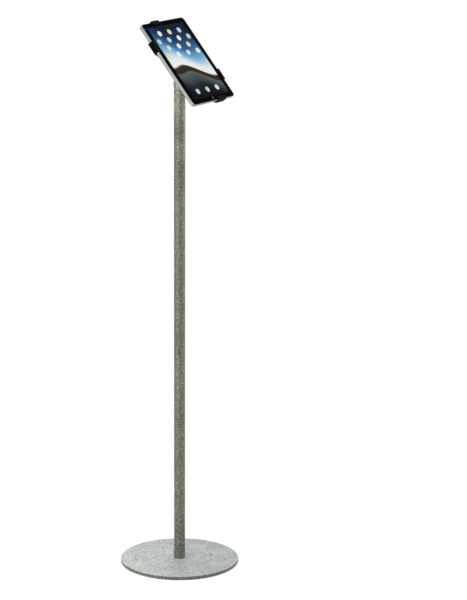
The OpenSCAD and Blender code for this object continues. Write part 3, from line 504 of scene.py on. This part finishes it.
def front_glass():
    """Glass over a printed border and a lit display, drawn in millimetres from the middle of the face."""
    made, tree = blank("front_glass")
    place = add(tree, "TexCoord").outputs["Object"]
    tilt = face_normal.angle(Vector((0, 0, 1)))
    face = add(tree, "Mapping", {
        "Vector": place, "Location": glass_middle, "Rotation": (tilt, 0, 0), "Scale": 3 * (MILLIMETRE,)},
        vector_type="TEXTURE")
    axes = add(tree, "SeparateXYZ", {"Vector": face})
    x, v = axes.outputs["X"], axes.outputs["Y"]
    wide = add(tree, "Math", {0: x, 1: 0.0, 2: display_half[0] - PRINT_OVERLAP}, operation="COMPARE")
    high = add(tree, "Math", {0: v, 1: 0.0, 2: display_half[1]}, operation="COMPARE")
    inside = add(tree, "Math", {0: wide, 1: high}, operation="MULTIPLY")
    slope = add(tree, "Math", {0: x, 1: WAVE_SLANT, 2: v}, operation="MULTIPLY_ADD")
    phase = add(tree, "Math", {0: x, 1: WAVE_ACROSS}, operation="MULTIPLY")
    phase = add(tree, "Math", {0: v, 1: WAVE_UP, 2: phase}, operation="MULTIPLY_ADD")
    swell = add(tree, "Math", {0: phase}, operation="SINE")
    level = add(tree, "Math", {0: swell, 1: WAVE_SWELL, 2: slope}, operation="MULTIPLY_ADD")
    share = add(tree, "Math", {0: level, 1: 0.5 / display_half[1], 2: 0.5}, operation="MULTIPLY_ADD")
    waves = add(tree, "ValToRGB", {"Fac": share}, [
        (0.02, "#0E1014"), (0.14, "#20272B"), (0.29, "#56625F"), (0.31, "#2B221E"), (0.37, "#3A302A"),
        (0.39, "#F0EFE4"), (0.48, "#D6E6EF"), (0.58, "#79B1D6"), (0.70, "#2F6799"), (0.82, "#1D3A63"),
        (0.95, "#171D33")])
    lattice = {"Rotation": (0, 0, TILE_TURN), "Scale": (TILE_PITCH, TILE_PITCH, 1.0)}
    turned = add(tree, "Mapping", {"Vector": face, **lattice}, vector_type="TEXTURE")
    tiles = add(tree, "TexVoronoi", {"Vector": turned, "Scale": 1.0, "Randomness": 0.0},
                voronoi_dimensions="2D")
    disc = add(tree, "Math", {0: tiles.outputs["Distance"], 1: TILE_R / TILE_PITCH}, operation="LESS_THAN")
    middle = add(tree, "Mapping", {"Vector": tiles.outputs["Position"], **lattice}, vector_type="POINT")
    middle = add(tree, "SeparateXYZ", {"Vector": middle})
    rows = [add(tree, "Math", {0: middle.outputs["Y"], 1: (a + b) / 2, 2: (b - a) / 2}, operation="COMPARE")
            for a, b in TILE_ROWS]
    shown = add(tree, "Math", {0: rows[0], 1: rows[1]}, operation="MAXIMUM")
    sides = add(tree, "Math", {0: middle.outputs["X"], 1: 0.0, 2: TILES_HALF}, operation="COMPARE")
    shown = add(tree, "Math", {0: shown, 1: sides}, operation="MULTIPLY")
    tile = add(tree, "Math", {0: disc, 1: shown}, operation="MULTIPLY")
    tint = add(tree, "SeparateColor", {"Color": tiles.outputs["Color"]})
    paint = add(tree, "ValToRGB", {"Fac": tint.outputs["Green"]}, [
        (0.0, "#E9EDF0"), (0.3, "#E7D9A6"), (0.5, "#BCD3DE"), (0.7, "#D8DDE6"), (0.85, "#C9D2AE")])
    paint.color_ramp.interpolation = "CONSTANT"
    picture = add(tree, "Mix", {0: tile, 6: waves, 7: paint}, data_type="RGBA")
    flat = add(tree, "VectorMath", {0: face, 1: (1.0, 1.0, 0.0)}, operation="MULTIPLY")
    away = add(tree, "VectorMath", {0: flat, 1: SENSOR + (0.0,)}, operation="DISTANCE")
    away = add(tree, "Math", {0: away.outputs["Value"], 1: 0.5 / SENSOR_R}, operation="MULTIPLY")
    ring = add(tree, "ValToRGB", {"Fac": away}, [
        (0.0, "#161A1F"), (0.22, "#353B42"), (0.38, "#9AA0A6"), (0.5, "#030304")])
    smudge = add(tree, "TexNoise", {"Vector": place, "Scale": 1 / SMUDGE, "Detail": 3.0, "Distortion": 1.5})
    gloss = add(tree, "MapRange", {
        "Value": smudge, "From Min": 0.45, "From Max": 0.75, "To Min": 0.05, "To Max": 0.16})
    shader = add(tree, "BsdfPrincipled", {
        "Base Color": ring, "Roughness": gloss, "IOR": 1.5, "Specular IOR Level": 0.005,
        "Emission Color": picture.outputs[2], "Emission Strength": inside})
    add(tree, "OutputMaterial", {"Surface": shader})
    return made


eased(front_glass(), "tablet_front", GLASS_EDGE, "tablet_glass")

# Behind the glass: the display's backing sheet, the foil pouches of the battery and the lacquered circuit
# board. The home button is a dished disc of gloss plastic in a hole in the glass.
MOTTLE = 0.003           # metres across a patch of duller or brighter gloss
MOTTLE_DULLING = 0.12    # how much rougher the dullest patch is


def smooth_gloss(name, dark, light, rough):
    """A coloured plastic, foil or lacquer whose tone, gloss and level vary a little from patch to patch."""
    made, tree = blank(name)
    place = add(tree, "TexCoord").outputs["Object"]
    mottle = add(tree, "TexNoise", {"Vector": place, "Scale": 1 / MOTTLE})
    colour = add(tree, "ValToRGB", {"Fac": mottle}, [(0.3, dark), (0.7, light)])
    gloss = add(tree, "MapRange", {"Value": mottle, "To Min": rough, "To Max": rough + MOTTLE_DULLING})
    relief = add(tree, "Bump", {"Height": mottle.outputs["Fac"], "Strength": 0.1, "Distance": 0.0002})
    shader = add(tree, "BsdfPrincipled", {
        "Base Color": colour, "Roughness": gloss, "Specular IOR Level": 0.2, "Normal": relief})
    add(tree, "OutputMaterial", {"Surface": shader})
    return made


dress(smooth_gloss("display_backing", "#36414D", "#404C5A", rough=0.3), "display_panel", "tablet_display")
dress(smooth_gloss("battery_pouch", "#262729", "#2F3032", rough=0.3), "battery_foil", "tablet_battery")
dress(smooth_gloss("solder_mask", "#143A25", "#1B4A30", rough=0.25), "circuit_board", "tablet_board")
eased(smooth_gloss("gloss_black_button", "#080809", "#0C0C0D", rough=0.14), "home_plastic", MILLED_EDGE,
      "home_button")

# Stage: a white floor and a white surround. Both show plain white to the camera and in reflections, and the
# floor keeps a soft shadow.
FLOOR_HALF = 40.0
FLOOR_GLOW = 0.9
FLOOR_BOUNCE = (0.16, 0.157, 0.14, 1.0)
WORLD_LIGHT = 0.105
WORLD_TINT = (1.0, 0.97, 0.86, 1.0)
WHITE = (1.0, 1.0, 1.0, 1.0)


def seen_plainly(tree):
    """1 for rays from the camera, off gloss or through glass, which see the background, and 0 for others."""
    rays = add(tree, "LightPath").outputs
    seen = add(tree, "Math", {0: rays["Is Camera Ray"], 1: rays["Is Glossy Ray"]}, operation="MAXIMUM")
    return add(tree, "Math", {0: seen, 1: rays["Is Transmission Ray"]}, operation="MAXIMUM")


def white_floor():
    """Pale floor that glows almost white to the eye, so that only the shadow of the object shows on it."""
    made, tree = blank("white_floor")
    glow = add(tree, "Math", {0: seen_plainly(tree), 1: FLOOR_GLOW}, operation="MULTIPLY")
    shader = add(tree, "BsdfPrincipled", {
        "Base Color": FLOOR_BOUNCE, "Roughness": 1.0, "Specular IOR Level": 0.0,
        "Emission Color": WHITE, "Emission Strength": glow})
    add(tree, "OutputMaterial", {"Surface": shader})
    return made


floor_mesh = bpy.data.meshes.new("floor")
floor_mesh.from_pydata([(-FLOOR_HALF, -FLOOR_HALF, 0), (FLOOR_HALF, -FLOOR_HALF, 0),
                        (FLOOR_HALF, FLOOR_HALF, 0), (-FLOOR_HALF, FLOOR_HALF, 0)], [], [(0, 1, 2, 3)])
floor_mesh.materials.append(white_floor())
floor = bpy.data.objects.new("floor", floor_mesh)
bpy.context.scene.collection.objects.link(floor)

world = bpy.data.worlds.new("white_surround")
world.use_nodes = True
world.node_tree.nodes.clear()
seen = seen_plainly(world.node_tree)
strength = add(world.node_tree, "MapRange", {"Value": seen, "To Min": WORLD_LIGHT, "To Max": 1.0})
shade = add(world.node_tree, "Mix", {0: seen, 6: WORLD_TINT, 7: WHITE}, data_type="RGBA")
surround = add(world.node_tree, "Background", {"Color": shade.outputs[2], "Strength": strength})
add(world.node_tree, "OutputWorld", {"Surface": surround})
bpy.context.scene.world = world

# Camera: where the photograph was taken from, above the stand's head and to the left of its front.
# Its place, aim and focal length come from the pole's edges, the plate's ellipse and the tablet's corners.
PHOTO_LONG_SIDE = 600
FOCAL_PIXELS = 2547.175
SENSOR_MM = 36.0
CAMERA_BEARING = radians(-57.119)
CAMERA_AWAY = 6.3
CAMERA_HEIGHT = 2.197244
CAMERA_YAW = radians(1.246)
CAMERA_PITCH = radians(13.377)
CAMERA_ROLL = radians(0.291)
CAMERA_FAR = 200.0

ahead = Vector((-sin(CAMERA_BEARING), cos(CAMERA_BEARING), 0))
aside = Vector((cos(CAMERA_BEARING), sin(CAMERA_BEARING), 0))
above = Vector((0, 0, 1))
level = cos(CAMERA_YAW) * ahead + sin(CAMERA_YAW) * aside
right = cos(CAMERA_YAW) * aside - sin(CAMERA_YAW) * ahead
forward = cos(CAMERA_PITCH) * level - sin(CAMERA_PITCH) * above
upright = sin(CAMERA_PITCH) * level + cos(CAMERA_PITCH) * above
right, upright = (cos(CAMERA_ROLL) * right + sin(CAMERA_ROLL) * upright,
                  cos(CAMERA_ROLL) * upright - sin(CAMERA_ROLL) * right)

lens = bpy.data.cameras.new("camera")
lens.sensor_width = SENSOR_MM
lens.lens = FOCAL_PIXELS * SENSOR_MM / PHOTO_LONG_SIDE
lens.clip_end = CAMERA_FAR
camera = bpy.data.objects.new("camera", lens)
camera.matrix_world = Matrix.Translation(-CAMERA_AWAY * ahead + CAMERA_HEIGHT * above) @ Matrix(
    (right, upright, -forward)).transposed().to_4x4()
bpy.context.scene.collection.objects.link(camera)
bpy.context.scene.camera = camera

# Lamps: a broad soft light overhead, a tall panel close on the left, a small warm one over that side of the
# plate, and a tall warm one further off on the right. The side of the pole towards the camera stays darkest.
SKYLIGHT = 2.0
SKYLIGHT_ANGLE = radians(50)
SKYLIGHT_TINT = (0.95, 1.0, 1.02)
PANEL_MIDDLE = 0.9                # metres from the floor up to the middle of the two tall panels
LEFT_BEARING = radians(-46)       # round the pole from the camera's side
LEFT_AWAY = 1.0                   # metres from the pole
LEFT_SIZE = (0.25, 1.9)
LEFT_WATTS = 5.5
LEFT_TINT = (0.96, 1.0, 0.94)
PLATE_ASIDE = -0.3
PLATE_ABOVE = 0.6
PLATE_SIZE = (0.2, 0.2)
PLATE_WATTS = 0.36
PLATE_TINT = (1.0, 0.94, 0.82)
PLATE_SPREAD = radians(80)
RIGHT_BEARING = radians(97)
RIGHT_AWAY = 4.0
RIGHT_SIZE = (0.8, 2.2)
RIGHT_WATTS = 32
RIGHT_TINT = (1.0, 0.95, 0.74)

skylight = bpy.data.lights.new("skylight", "SUN")
skylight.energy = SKYLIGHT
skylight.angle = SKYLIGHT_ANGLE
skylight.color = SKYLIGHT_TINT
lamp = bpy.data.objects.new("skylight", skylight)
bpy.context.scene.collection.objects.link(lamp)


def soft_panel(name, place, back, size, watts, tint, spread=pi):
    """A rectangular lamp at a place, its back to a direction, that lights a cone and isn't seen itself."""
    light = bpy.data.lights.new(name, "AREA")
    light.shape = "RECTANGLE"
    light.size, light.size_y = size
    light.energy, light.color, light.spread = watts, tint, spread
    panel = bpy.data.objects.new(name, light)
    panel.matrix_world = Matrix.Translation(place) @ back.to_track_quat("Z", "Y").to_matrix().to_4x4()
    panel.visible_camera = False
    bpy.context.scene.collection.objects.link(panel)


left = sin(LEFT_BEARING) * aside - cos(LEFT_BEARING) * ahead
beyond = sin(RIGHT_BEARING) * aside - cos(RIGHT_BEARING) * ahead
soft_panel("left_panel", LEFT_AWAY * left + PANEL_MIDDLE * above, left, LEFT_SIZE, LEFT_WATTS, LEFT_TINT)
soft_panel("plate_panel", PLATE_ASIDE * aside + PLATE_ABOVE * above, above, PLATE_SIZE, PLATE_WATTS,
           PLATE_TINT, PLATE_SPREAD)
soft_panel("right_panel", RIGHT_AWAY * beyond + PANEL_MIDDLE * above, beyond, RIGHT_SIZE, RIGHT_WATTS,
           RIGHT_TINT)

bpy.context.scene.view_settings.view_transform = "Standard"
